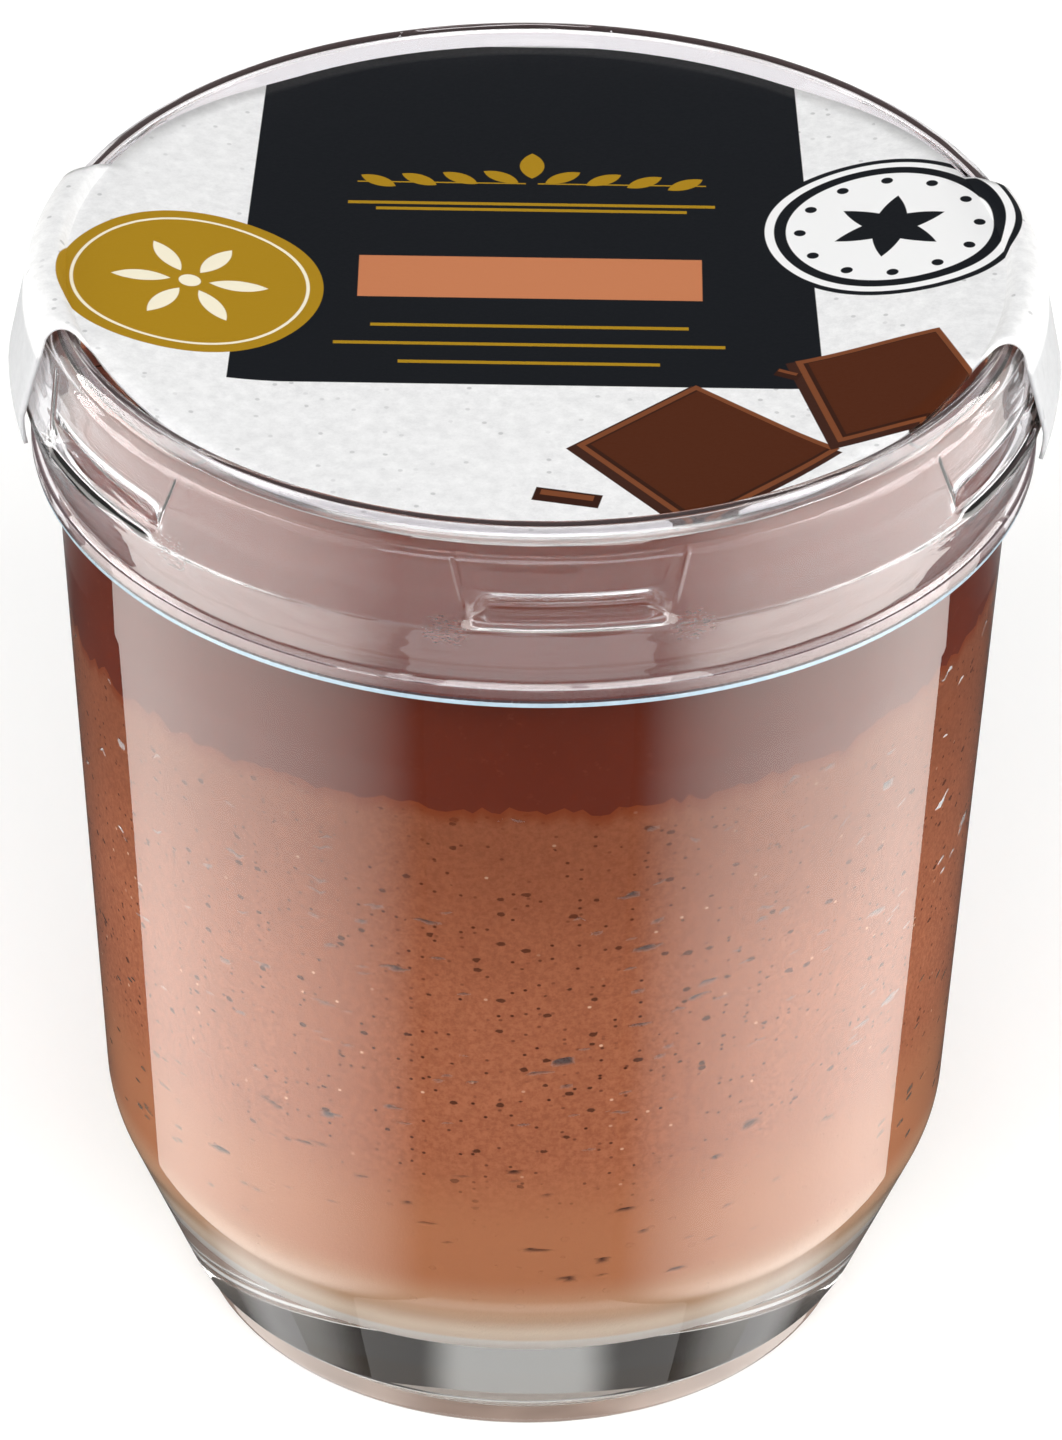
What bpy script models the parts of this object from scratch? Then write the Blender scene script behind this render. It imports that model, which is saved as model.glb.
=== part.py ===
"""Chocolate mousse dessert in a glass tumbler with a clear press-fit lid and a paper label.

Metres, +Z up. The origin is the centre of the foot, on the surface that the glass stands on.
"""
import math

import bmesh
import bpy

MM = 0.001
GAP = 0.3 * MM

# Glass tumbler: outer form from the foot up
FOOT_RADIUS = 24.55 * MM
FOOT_HEIGHT = 3.4 * MM
FOOT_EDGE = 0.8 * MM
FOOT_STEP = 0.6 * MM
CONTACT_INNER_RADIUS = 20.5 * MM
PUNT_RADIUS = 18.5 * MM
PUNT_DEPTH = 0.9 * MM
BEVEL_LOW_RADIUS = 26.0 * MM
TURN_HEIGHT = 16.0 * MM
TURN_RADIUS = 31.0 * MM
TURN_ROUND = 8.0 * MM
BODY_TOP_HEIGHT = 63.8 * MM
BODY_TOP_RADIUS = 33.4 * MM
NECK_HEIGHT = 78.3 * MM
NECK_RADIUS = 33.75 * MM
BEAD_RADIUS = 34.1 * MM
BEAD_LOW = 79.2 * MM
GLASS_HEIGHT = 81.9 * MM
RIM_ROUND = 0.8 * MM

# Glass tumbler: cavity
WALL = 2.5 * MM
BASE_THICKNESS = 9.0 * MM
CAVITY_ROUND = 8.5 * MM

# Contents
SAUCE_TOP = 77.8 * MM
SAUCE_LINE = 59.9 * MM
SAUCE_LINE_TILT = 2.2 * MM
SAUCE_LINE_SAG = 0.8 * MM

# Lid
LID_WALL = 0.5 * MM
PANEL_HEIGHT = 82.7 * MM
PANEL_RADIUS = 32.85 * MM
PANEL_FILLET = 0.25 * MM
BEAD_ROUND = 0.6 * MM
SHOULDER_ROUND = 1.2 * MM
SHOULDER_END = 12.0
CREST_RADIUS = 33.72 * MM
CREST_HEIGHT = 84.6 * MM
SKIRT_TOP_RADIUS = 34.95 * MM
SKIRT_TOP_HEIGHT = 83.4 * MM
SKIRT_WIDE_RADIUS = 36.25 * MM
SKIRT_WIDE_HEIGHT = 77.3 * MM
SKIRT_LOW_RADIUS = 35.05 * MM
FLANGE_STEP = 0.35 * MM
FLANGE_TOP = 72.3 * MM
FLANGE_BOTTOM = 70.9 * MM

# Snap dents pressed into the skirt
DENT_COUNT = 6
DENT_DEPTH = 1.45 * MM
DENT_TOP = 80.2 * MM
DENT_DEEPEST = 78.3 * MM
DENT_BOTTOM = 77.5 * MM
DENT_FLAT = math.radians(8.2)
DENT_EDGE = math.radians(11.8)
FIRST_DENT = math.radians(-85.8)

# Paper label: a disc with two wings folded over the bead and down the lid's sides
PAPER = 0.3 * MM
LABEL_RADIUS = 32.7 * MM
LABEL_HEIGHT = 83.3 * MM
LABEL_FLAT_REACH = 17.0 * MM
LABEL_RINGS = (0.5, 0.68, 0.84, 1.0)
WING_ROOT_RISE = 1.2 * MM
WING_HALF_ANGLE = math.radians(17.5)
WING_END_HALF_ANGLE = math.radians(15.0)
WING_ROOT_SPREAD = math.radians(5.0)
WING_ROOT_CURVE = 0.8 * MM
WING_BOTTOM = 74.8 * MM
WING_TUCK = 0.3 * MM

GLASS_STEPS = 64
FOOD_STEPS = 60
LID_STEPS = 90
MERGE = 1e-6


def clear_objects():
    for obj in list(bpy.data.objects):
        bpy.data.objects.remove(obj, do_unlink=True)


def material(name, colour, roughness, alpha=1.0, transmission=0.0):
    mat = bpy.data.materials.new(name)
    mat.use_nodes = True
    shader = mat.node_tree.nodes["Principled BSDF"]
    shader.inputs["Base Color"].default_value = (*colour, 1.0)
    shader.inputs["Roughness"].default_value = roughness
    shader.inputs["Metallic"].default_value = 0.0
    shader.inputs["Alpha"].default_value = alpha
    shader.inputs["Transmission Weight"].default_value = transmission
    mat.diffuse_color = (*colour, alpha)
    return mat


def add_object(name, mesh_builder, mat):
    """Turn a bmesh into an object with outward faces and smooth round sides."""
    bmesh.ops.recalc_face_normals(mesh_builder, faces=mesh_builder.faces)
    mesh = bpy.data.meshes.new(name)
    mesh_builder.to_mesh(mesh)
    mesh_builder.free()
    mesh.materials.append(mat)
    mesh.shade_smooth()
    mesh.set_sharp_from_angle(angle=math.radians(35))
    obj = bpy.data.objects.new(name, mesh)
    bpy.context.scene.collection.objects.link(obj)
    return obj


def arc(centre, radius, start, end, steps):
    """Points on an arc in the radius-height plane, angles in degrees from the +radius axis."""
    points = []
    for i in range(steps + 1):
        angle = math.radians(start + (end - start) * i / steps)
        points.append((centre[0] + radius * math.cos(angle), centre[1] + radius * math.sin(angle)))
    return points


def rounded_corner(before, corner, after, radius, steps):
    """An arc of the given radius that is tangent to both legs of a corner."""
    to_before = (before[0] - corner[0], before[1] - corner[1])
    to_after = (after[0] - corner[0], after[1] - corner[1])
    length_before = math.hypot(*to_before)
    length_after = math.hypot(*to_after)
    u = (to_before[0] / length_before, to_before[1] / length_before)
    v = (to_after[0] / length_after, to_after[1] / length_after)
    half = math.acos(u[0] * v[0] + u[1] * v[1]) / 2
    bisector = (u[0] + v[0], u[1] + v[1])
    scale = radius / math.sin(half) / math.hypot(*bisector)
    centre = (corner[0] + bisector[0] * scale, corner[1] + bisector[1] * scale)
    reach = radius / math.tan(half)
    start = (corner[0] + u[0] * reach, corner[1] + u[1] * reach)
    end = (corner[0] + v[0] * reach, corner[1] + v[1] * reach)
    start_angle = math.degrees(math.atan2(start[1] - centre[1], start[0] - centre[0]))
    end_angle = math.degrees(math.atan2(end[1] - centre[1], end[0] - centre[0]))
    turn = (end_angle - start_angle + 180) % 360 - 180
    return arc(centre, radius, start_angle, start_angle + turn, steps)


def spin_profile(profile, steps, first_angle=0.0):
    """Spin radius-height points round Z into one closed body."""
    work = bmesh.new()
    cos_first = math.cos(first_angle)
    sin_first = math.sin(first_angle)
    verts = [work.verts.new((r * cos_first, r * sin_first, z)) for r, z in profile]
    edges = [work.edges.new(pair) for pair in zip(verts, verts[1:])]
    bmesh.ops.spin(work, geom=verts + edges, cent=(0, 0, 0), axis=(0, 0, 1), dvec=(0, 0, 0),
                   angle=2 * math.pi, steps=steps, use_merge=True)
    bmesh.ops.remove_doubles(work, verts=work.verts, dist=MERGE)
    return work


def cavity_radius(height):
    """Radius of the inner wall at a height above the rounded cavity corner."""
    slope = (BODY_TOP_RADIUS - TURN_RADIUS) / (BODY_TOP_HEIGHT - TURN_HEIGHT)
    return TURN_RADIUS - WALL + slope * (min(height, BODY_TOP_HEIGHT) - TURN_HEIGHT)


def cavity_profile(inset, top):
    """Cavity wall from its axis point outwards and up, moved inwards by inset."""
    floor = BASE_THICKNESS + inset
    wall_low = (cavity_radius(floor) - inset, floor)
    wall_top = (cavity_radius(top) - inset, top)
    corner = rounded_corner((0.0, floor), wall_low, wall_top, CAVITY_ROUND - inset, 7)
    return [(0.0, floor)] + corner + [wall_top]


def make_glass():
    foot = [(0.0, PUNT_DEPTH), (PUNT_RADIUS, PUNT_DEPTH), (CONTACT_INNER_RADIUS, 0.0)]
    foot_edge = rounded_corner((0.0, 0.0), (FOOT_RADIUS, 0.0), (FOOT_RADIUS, FOOT_HEIGHT), FOOT_EDGE, 3)
    foot_top = [(FOOT_RADIUS, FOOT_HEIGHT - FOOT_STEP), (BEVEL_LOW_RADIUS, FOOT_HEIGHT)]
    turn = rounded_corner((BEVEL_LOW_RADIUS, FOOT_HEIGHT), (TURN_RADIUS, TURN_HEIGHT),
                          (BODY_TOP_RADIUS, BODY_TOP_HEIGHT), TURN_ROUND, 5)
    body = [(BODY_TOP_RADIUS, BODY_TOP_HEIGHT), (NECK_RADIUS, NECK_HEIGHT), (BEAD_RADIUS, BEAD_LOW)]
    rim_outer = rounded_corner((BEAD_RADIUS, BEAD_LOW), (BEAD_RADIUS, GLASS_HEIGHT),
                               (0.0, GLASS_HEIGHT), RIM_ROUND, 4)
    mouth_radius = cavity_radius(GLASS_HEIGHT)
    rim_inner = rounded_corner((BEAD_RADIUS, GLASS_HEIGHT), (mouth_radius, GLASS_HEIGHT),
                               (mouth_radius, BODY_TOP_HEIGHT), RIM_ROUND, 4)
    cavity = cavity_profile(0.0, BODY_TOP_HEIGHT)
    cavity.reverse()
    profile = foot + foot_edge + foot_top + turn + body + rim_outer + rim_inner + cavity
    glass = material("clear_glass", (0.93, 0.95, 0.95), 0.02, alpha=0.35, transmission=1.0)
    return add_object("glass_tumbler", spin_profile(profile, GLASS_STEPS), glass)


def layer_line(x, y):
    """Height of the uneven line between mousse and sauce: lower on the left, sagging to the middle."""
    radius = math.hypot(x, y)
    across = x / max(radius, MERGE)
    near_wall = min(radius / cavity_radius(SAUCE_LINE), 1.0)
    tilt = SAUCE_LINE_TILT * across ** 3 * near_wall ** 2
    return SAUCE_LINE + tilt - SAUCE_LINE_SAG * (1 - near_wall ** 2)


def make_mousse():
    """Aerated filling up to the uneven line under the sauce."""
    outline = cavity_profile(GAP, SAUCE_LINE)
    wall_radius = outline[-1][0]
    rings = 5
    top = [(wall_radius * (rings - i) / rings, SAUCE_LINE) for i in range(1, rings + 1)]
    work = spin_profile(outline + top, FOOD_STEPS)
    for vert in work.verts:
        if vert.co.z > SAUCE_LINE - MERGE:
            vert.co.z = layer_line(vert.co.x, vert.co.y)
    mousse = material("mousse_brown", (0.33, 0.14, 0.08), 0.75)
    return add_object("chocolate_mousse", work, mousse)


def make_sauce():
    """Smooth sauce layer from the mousse up to a level top below the rim."""
    low_radius = cavity_radius(SAUCE_LINE) - GAP
    top_radius = cavity_radius(SAUCE_TOP) - GAP
    rings = 5
    bottom = [(low_radius * i / rings, SAUCE_LINE) for i in range(rings + 1)]
    side_top = [(cavity_radius(BODY_TOP_HEIGHT) - GAP, BODY_TOP_HEIGHT), (top_radius, SAUCE_TOP)]
    top = [(0.5 * top_radius, SAUCE_TOP), (0.0, SAUCE_TOP)]
    work = spin_profile(bottom + side_top + top, FOOD_STEPS)
    for vert in work.verts:
        if vert.co.z < SAUCE_LINE + MERGE:
            vert.co.z = layer_line(vert.co.x, vert.co.y) + GAP
    sauce = material("sauce_dark", (0.10, 0.022, 0.012), 0.3)
    return add_object("chocolate_sauce", work, sauce)


def lid_outer_profile():
    """Outer skin of the lid from the panel's centre over the bead and down to the cut edge."""
    panel = [(0.0, PANEL_HEIGHT), (PANEL_RADIUS, PANEL_HEIGHT),
             (PANEL_RADIUS + PANEL_FILLET, PANEL_HEIGHT + PANEL_FILLET)]
    bead = arc((CREST_RADIUS, CREST_HEIGHT - BEAD_ROUND), BEAD_ROUND, 180, 90, 2)
    shoulder = arc((CREST_RADIUS, CREST_HEIGHT - SHOULDER_ROUND), SHOULDER_ROUND, 90, SHOULDER_END, 3)
    flare_heights = ((SKIRT_TOP_HEIGHT + DENT_TOP) / 2, DENT_TOP,
                     (DENT_TOP + DENT_DEEPEST) / 2, DENT_DEEPEST, DENT_BOTTOM)
    flare = [skirt_point(z) for z in flare_heights]
    flange_radius = SKIRT_LOW_RADIUS + FLANGE_STEP
    flange = [(SKIRT_LOW_RADIUS, FLANGE_TOP + FLANGE_STEP), (flange_radius, FLANGE_TOP),
              (flange_radius, FLANGE_BOTTOM)]
    return panel + bead + shoulder[1:] + flare + flange


def skirt_point(height):
    """Point on the skirt's flare between the shoulder and the widest ring."""
    share = (SKIRT_TOP_HEIGHT - height) / (SKIRT_TOP_HEIGHT - SKIRT_WIDE_HEIGHT)
    radius = SKIRT_TOP_RADIUS + (SKIRT_WIDE_RADIUS - SKIRT_TOP_RADIUS) * share
    return (radius, height)


def offset_profile(profile, distance):
    """The same line moved sideways by distance, towards its right hand."""
    moved = []
    for i, point in enumerate(profile):
        before = profile[max(i - 1, 0)]
        after = profile[min(i + 1, len(profile) - 1)]
        along = (after[0] - before[0], after[1] - before[1])
        length = math.hypot(*along)
        side = (along[1] / length, -along[0] / length)
        moved.append((point[0] + side[0] * distance, point[1] + side[1] * distance))
    return moved


def dent_amount(x, y, height):
    """How far the skirt is pressed in at a point, from 0 to 1."""
    spacing = 2 * math.pi / DENT_COUNT
    away = (math.atan2(y, x) - FIRST_DENT + spacing / 2) % spacing - spacing / 2
    across = (DENT_EDGE - abs(away)) / (DENT_EDGE - DENT_FLAT)
    across = min(max(across, 0.0), 1.0)
    if height > DENT_DEEPEST:
        down = (DENT_TOP - height) / (DENT_TOP - DENT_DEEPEST)
    else:
        down = (height - DENT_BOTTOM) / (DENT_DEEPEST - DENT_BOTTOM)
    return across * min(max(down, 0.0), 1.0)


def make_lid():
    outer = lid_outer_profile()
    inner = offset_profile(outer, LID_WALL)
    inner[0] = (0.0, PANEL_HEIGHT - LID_WALL)
    inner[-1] = (SKIRT_LOW_RADIUS + FLANGE_STEP - LID_WALL, FLANGE_BOTTOM)
    inner.reverse()
    work = spin_profile(outer + inner, LID_STEPS, FIRST_DENT)
    for vert in work.verts:
        x, y, z = vert.co
        radius = math.hypot(x, y)
        if radius > PANEL_RADIUS and z < DENT_TOP:
            pressed = (radius - DENT_DEPTH * dent_amount(x, y, z)) / radius
            vert.co.x = x * pressed
            vert.co.y = y * pressed
    plastic = material("clear_plastic", (0.93, 0.94, 0.96), 0.06, alpha=0.35, transmission=1.0)
    return add_object("snap_lid", work, plastic)


def wing_path():
    """Top face of a wing as radius-height points: over the bead and down the skirt."""
    clearance = GAP + PAPER
    over_bead = arc((CREST_RADIUS, CREST_HEIGHT - BEAD_ROUND), BEAD_ROUND + clearance, 115, 90, 1)
    over_bead += arc((CREST_RADIUS, CREST_HEIGHT - SHOULDER_ROUND), SHOULDER_ROUND + clearance, 90, SHOULDER_END, 4)[1:]
    down_skirt = []
    for height in (DENT_TOP, SKIRT_WIDE_HEIGHT):
        radius, z = skirt_point(height)
        down_skirt.append((radius + clearance, z))
    return over_bead + down_skirt + [(SKIRT_WIDE_RADIUS + clearance - WING_TUCK, WING_BOTTOM)]


def wing_half_angle(radius, height):
    """Half the wing's width: wider where it leaves the disc in a curve, narrower at its end."""
    past_root = max(radius - LABEL_RADIUS, 0.0) / WING_ROOT_CURVE
    down = max(LABEL_HEIGHT - height, 0.0) / (LABEL_HEIGHT - WING_BOTTOM)
    taper = (WING_END_HALF_ANGLE - WING_HALF_ANGLE) * down
    return WING_HALF_ANGLE + WING_ROOT_SPREAD * math.exp(-past_root) + taper


def label_height(x):
    """Height of the disc: it bends up along straight lines towards its wings, as a card does."""
    risen_reach = LABEL_RADIUS * math.cos(WING_HALF_ANGLE + WING_ROOT_SPREAD)
    share = (abs(x) - LABEL_FLAT_REACH) / (risen_reach - LABEL_FLAT_REACH)
    share = min(max(share, 0.0), 1.0)
    return LABEL_HEIGHT + WING_ROOT_RISE * share * share * (3 - 2 * share)


def make_label():
    """Sheet of the disc and both wings, thickened downwards by a Solidify modifier."""
    wing_columns = 6
    side_columns = 16
    root_angle = WING_HALF_ANGLE + WING_ROOT_SPREAD
    angles = []
    for side in (0.0, math.pi):
        angles += [side - root_angle + 2 * root_angle * i / wing_columns for i in range(wing_columns)]
        open_start = side + root_angle
        open_arc = math.pi - 2 * root_angle
        angles += [open_start + open_arc * i / side_columns for i in range(side_columns)]

    work = bmesh.new()
    centre = work.verts.new((0, 0, LABEL_HEIGHT))
    rings = []
    for share in LABEL_RINGS:
        places = [(share * LABEL_RADIUS * math.cos(a), share * LABEL_RADIUS * math.sin(a)) for a in angles]
        rings.append([work.verts.new((x, y, label_height(x))) for x, y in places])
    count = len(angles)
    for i in range(count):
        after = (i + 1) % count
        work.faces.new((centre, rings[0][i], rings[0][after]))
        for low, high in zip(rings, rings[1:]):
            work.faces.new((low[i], high[i], high[after], low[after]))

    path = wing_path()
    for side in range(2):
        first = side * (wing_columns + side_columns)
        edge = [rings[-1][(first + i) % count] for i in range(wing_columns + 1)]
        for radius, height in path:
            row = []
            for i in range(wing_columns + 1):
                angle = side * math.pi + wing_half_angle(radius, height) * (2 * i / wing_columns - 1)
                row.append(work.verts.new((radius * math.cos(angle), radius * math.sin(angle), height)))
            for i in range(wing_columns):
                work.faces.new((edge[i], row[i], row[i + 1], edge[i + 1]))
            edge = row

    paper = material("label_paper", (0.82, 0.82, 0.82), 0.7)
    label = add_object("paper_label", work, paper)
    if label.data.polygons[0].normal.z < 0:
        label.data.flip_normals()
    thicken = label.modifiers.new("paper thickness", "SOLIDIFY")
    thicken.thickness = PAPER
    thicken.offset = -1.0
    return label


def main():
    clear_objects()
    make_glass()
    make_mousse()
    make_sauce()
    make_lid()
    make_label()


main()
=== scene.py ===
"""Looks of a chocolate mousse dessert in a lidded glass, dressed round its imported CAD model.

Metres, +Z up. The origin is the centre of the foot, and the front that the camera looks at is -Y.
"""

import math

import bpy
import numpy as np
from mathutils import Matrix, Vector, noise


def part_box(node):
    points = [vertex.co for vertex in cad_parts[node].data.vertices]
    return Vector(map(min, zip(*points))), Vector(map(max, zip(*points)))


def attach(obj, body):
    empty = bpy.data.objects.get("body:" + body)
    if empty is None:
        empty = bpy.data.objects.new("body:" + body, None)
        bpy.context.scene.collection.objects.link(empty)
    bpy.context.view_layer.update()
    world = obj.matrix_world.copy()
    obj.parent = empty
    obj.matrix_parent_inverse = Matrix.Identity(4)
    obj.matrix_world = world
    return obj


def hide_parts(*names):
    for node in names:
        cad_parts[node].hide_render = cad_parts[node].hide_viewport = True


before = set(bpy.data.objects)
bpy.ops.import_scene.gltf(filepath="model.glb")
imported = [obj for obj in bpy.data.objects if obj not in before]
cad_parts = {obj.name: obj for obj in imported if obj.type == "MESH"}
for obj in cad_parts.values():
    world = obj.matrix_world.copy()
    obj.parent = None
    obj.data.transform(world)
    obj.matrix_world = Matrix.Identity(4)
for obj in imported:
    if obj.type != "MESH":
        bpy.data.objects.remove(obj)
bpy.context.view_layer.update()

MM = 0.001

# Glass tumbler: outer form from the foot up
FOOT_RADIUS = 24.55 * MM
FOOT_HEIGHT = 3.4 * MM
FOOT_EDGE = 0.8 * MM
FOOT_STEP = 0.6 * MM
CONTACT_INNER_RADIUS = 20.5 * MM
PUNT_RADIUS = 18.5 * MM
PUNT_DEPTH = 0.9 * MM
BEVEL_LOW_RADIUS = 26.0 * MM
TURN_HEIGHT = 16.0 * MM
TURN_RADIUS = 31.0 * MM
TURN_ROUND = 8.0 * MM
BODY_TOP_HEIGHT = 63.8 * MM
BODY_TOP_RADIUS = 33.4 * MM
NECK_HEIGHT = 78.3 * MM
NECK_RADIUS = 33.75 * MM
BEAD_RADIUS = 34.1 * MM
BEAD_LOW = 79.2 * MM
GLASS_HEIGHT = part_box("glass_tumbler")[1].z
RIM_ROUND = 0.8 * MM

# Glass tumbler: cavity
WALL = 2.5 * MM
BASE_THICKNESS = 9.0 * MM
CAVITY_ROUND = 8.5 * MM

# Contents, which press against the glass
INTO_WALL = 0.05 * MM
CONTENT_COLUMNS = 320
WALL_ROWS = 280
SAUCE_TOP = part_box("chocolate_sauce")[1].z
SAUCE_EDGE_TOP = 81.0 * MM
SAUCE_LINE = 59.9 * MM
SAUCE_LINE_TILT = 2.2 * MM
SAUCE_LINE_SAG = 0.8 * MM
SAUCE_LINE_RIPPLE = 0.9 * MM
RIPPLE_LENGTH = 1.7 * MM

# Lid
LID_WALL = 0.5 * MM
PANEL_HEIGHT = 82.7 * MM
PANEL_RADIUS = 32.85 * MM
PANEL_FILLET = 0.25 * MM
BEAD_ROUND = 0.6 * MM
SHOULDER_ROUND = 1.2 * MM
SHOULDER_END = 12.0
SHOULDER_ARC = 1.8 * MM
SHOULDER_CORNER_RISE = 0.7 * MM
CREST_SLOPE = 28.0
CREST_RADIUS = 33.72 * MM
CREST_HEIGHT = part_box("snap_lid")[1].z
SKIRT_TOP_RADIUS = 34.95 * MM
SKIRT_TOP_HEIGHT = 83.4 * MM
SKIRT_WIDE_RADIUS = 36.22 * MM
SKIRT_WIDE_HEIGHT = 77.3 * MM
SKIRT_LOW_RADIUS = 35.05 * MM
FLANGE_STEP = 0.35 * MM
FLANGE_TOP = 72.3 * MM
FLANGE_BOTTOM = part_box("snap_lid")[0].z
CUT_EDGE = 0.4 * MM

# Snap dents pressed into the skirt
DENT_COUNT = 6
DENT_DEPTH = 1.45 * MM
DENT_TOP = 80.2 * MM
DENT_DEEPEST = 78.3 * MM
DENT_BOTTOM = 77.5 * MM
DENT_FLAT = math.radians(8.2)
DENT_EDGE = math.radians(11.8)
FIRST_DENT = math.radians(-85.8)

# Paper label: a disc with two wings folded over the bead and down the lid's sides
PAPER = 0.3 * MM
PAPER_GAP = 0.3 * MM
LABEL_RADIUS = 32.7 * MM
LABEL_HEIGHT = 83.3 * MM
LABEL_FLAT_REACH = 17.0 * MM
WING_ROOT_RISE = 1.2 * MM
WING_HALF_ANGLE = math.radians(17.5)
WING_END_HALF_ANGLE = math.radians(15.0)
WING_ROOT_SPREAD = math.radians(5.0)
WING_ROOT_CURVE = 0.8 * MM
WING_BOTTOM = 74.8 * MM
WING_TUCK = 0.3 * MM

# Camera
CAMERA_PLACE = (0.125 * MM, -453.0 * MM, 354.5 * MM)
CAMERA_PITCH = math.radians(55.733)
CAMERA_ROLL = math.radians(0.881)
CAMERA_LENS = 189.2

# Stage
FOOT_SHADE_RADIUS = 34 * MM
DARK_CARD_RADIUS = 60 * MM
SHADE_LIFT = 0.02 * MM
BLACK = (0.0, 0.0, 0.0, 1.0)
WARM_WHITE = (1.0, 0.985, 0.95, 1.0)

TINY = 1e-9


def srgb(red, green, blue):
    """Scene-linear colour from display values of 0 to 255."""
    linear = []
    for value in (red, green, blue):
        share = value / 255
        linear.append(share / 12.92 if share <= 0.04045 else ((share + 0.055) / 1.055) ** 2.4)
    return (*linear, 1.0)


def smooth(share):
    share = np.clip(share, 0.0, 1.0)
    return share * share * (3 - 2 * share)


# Profiles


def arc(centre, radius, start, end, steps):
    """Points on an arc in the radius-height plane, angles in degrees from the +radius axis."""
    points = []
    for i in range(steps + 1):
        angle = math.radians(start + (end - start) * i / steps)
        points.append((centre[0] + radius * math.cos(angle), centre[1] + radius * math.sin(angle)))
    return points


def rounded_corner(before, corner, after, radius, steps):
    """An arc of the given radius that is tangent to both legs of a corner."""
    legs = [np.subtract(before, corner), np.subtract(after, corner)]
    u, v = [leg / np.linalg.norm(leg) for leg in legs]
    half = math.acos(float(u @ v)) / 2
    centre = corner + (u + v) / np.linalg.norm(u + v) * radius / math.sin(half)
    reach = radius / math.tan(half)
    touches = [corner + leg * reach - centre for leg in (u, v)]
    start_angle, end_angle = [math.degrees(math.atan2(rise, run)) for run, rise in touches]
    turn = (end_angle - start_angle + 180) % 360 - 180
    return arc(centre, radius, start_angle, start_angle + turn, steps)


def held(profile, distance):
    """The profile with an extra point near both ends of each long straight, so that shading stays true."""
    points = []
    for start, end in zip(profile, profile[1:]):
        points.append(start)
        length = math.dist(start, end)
        if length > 4 * distance:
            for share in (distance / length, 1 - distance / length):
                points.append(tuple(np.add(start, np.subtract(end, start) * share)))
    return points + [profile[-1]]


def filled(profile, spacing):
    """The profile with evenly spaced points along it, no further apart than spacing."""
    points = []
    for start, end in zip(profile, profile[1:]):
        steps = max(1, math.ceil(math.dist(start, end) / spacing))
        for i in range(steps):
            points.append(tuple(np.add(start, np.subtract(end, start) * i / steps)))
    return points + [profile[-1]]


def offset(profile, distance):
    """The same line moved sideways by distance, towards its right hand."""
    moved = []
    for i, point in enumerate(profile):
        along = np.subtract(profile[min(i + 1, len(profile) - 1)], profile[max(i - 1, 0)])
        along = along / np.linalg.norm(along)
        moved.append((point[0] + along[1] * distance, point[1] - along[0] * distance))
    return moved


# Meshes


def lathe(name, profile, columns, shift=None, closed=False):
    """Spin a profile round Z into a mesh object. The profile runs outwards below, up, and inwards above."""
    profile = np.array(profile)
    angles = 2 * np.pi * np.arange(columns) / columns
    grid = np.empty((len(profile), columns, 3))
    grid[:, :, 0] = profile[:, :1] * np.cos(angles)
    grid[:, :, 1] = profile[:, :1] * np.sin(angles)
    grid[:, :, 2] = profile[:, 1:]
    if shift:
        grid = shift(grid)
    verts = []
    rows = []
    for radius, ring in zip(profile[:, 0], grid):
        if radius < TINY:
            rows.append([len(verts)] * columns)
            verts.append(ring[0])
        else:
            rows.append(list(range(len(verts), len(verts) + columns)))
            verts.extend(ring)
    if closed:
        rows.append(rows[0])
    faces = []
    for low, high in zip(rows, rows[1:]):
        for j in range(columns):
            k = (j + 1) % columns
            corners = (low[j], low[k], high[k], high[j])
            faces.append(tuple(dict.fromkeys(corners)))
    return mesh_object(name, [tuple(v) for v in verts], faces)


def mesh_object(name, verts, faces):
    mesh = bpy.data.meshes.new(name)
    mesh.from_pydata(verts, [], faces)
    mesh.shade_smooth()
    mesh.set_sharp_from_angle(angle=math.radians(40))
    obj = bpy.data.objects.new(name, mesh)
    bpy.context.scene.collection.objects.link(obj)
    return obj


def dress(obj, material, node):
    """Put a piece in place of a CAD node, with its finish."""
    obj.data.materials.append(material)
    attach(obj, "root")
    if node:
        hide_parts(node)


# Materials


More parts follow.
